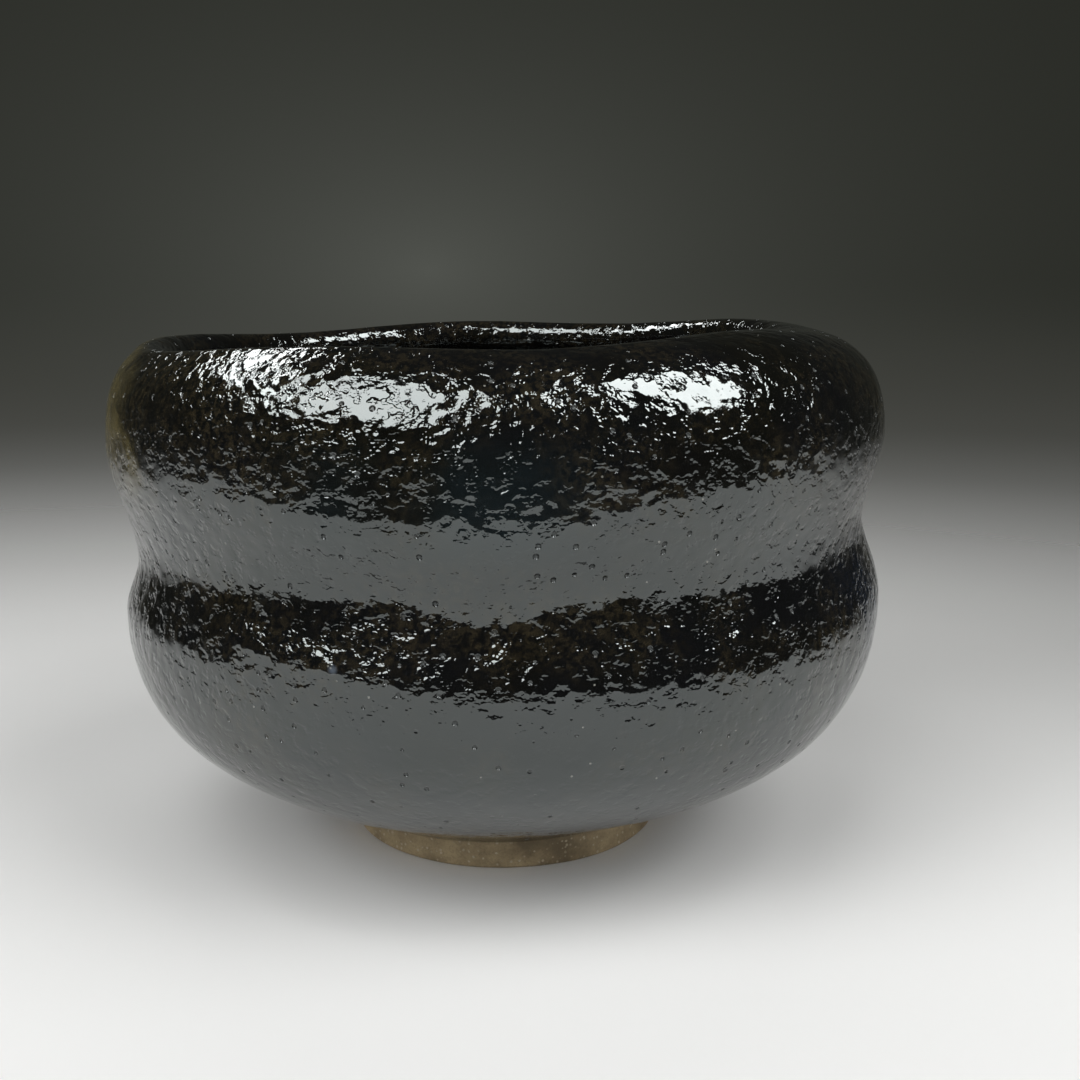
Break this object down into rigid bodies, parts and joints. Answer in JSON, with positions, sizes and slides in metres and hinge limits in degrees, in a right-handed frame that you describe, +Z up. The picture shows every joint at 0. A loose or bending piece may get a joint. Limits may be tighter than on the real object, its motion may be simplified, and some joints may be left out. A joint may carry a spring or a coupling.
{
  "type": "tea bowl",
  "caption": "Waisted, hand-shaped bowl for whisked tea, black glossy glaze over stoneware, with a small bare foot ring.",
  "frame": {"origin": "on the table under the middle of the bowl's box", "axes": "+Z up out of the mouth; -Y towards the viewer, the side where the two thumb strokes meet in the waist; +X to the viewer's right, where the lip is highest and leans in most"},
  "size_m": [0.1202, 0.1198, 0.0808],
  "materials": {
    "bare_clay": "unglazed, matt, sandy",
    "foot_clay": "unglazed, matt, sandy, trimmed with a tool",
    "outside_glaze": "glossy black with orange peel and small pits",
    "inside_glaze": "glossy black with orange peel"
  },
  "bodies": {
    "root": {"clay_body": "bare_clay", "foot_ring": "foot_clay", "glaze_outside": "outside_glaze", "glaze_inside": "inside_glaze"}
  },
  "joints": []
}
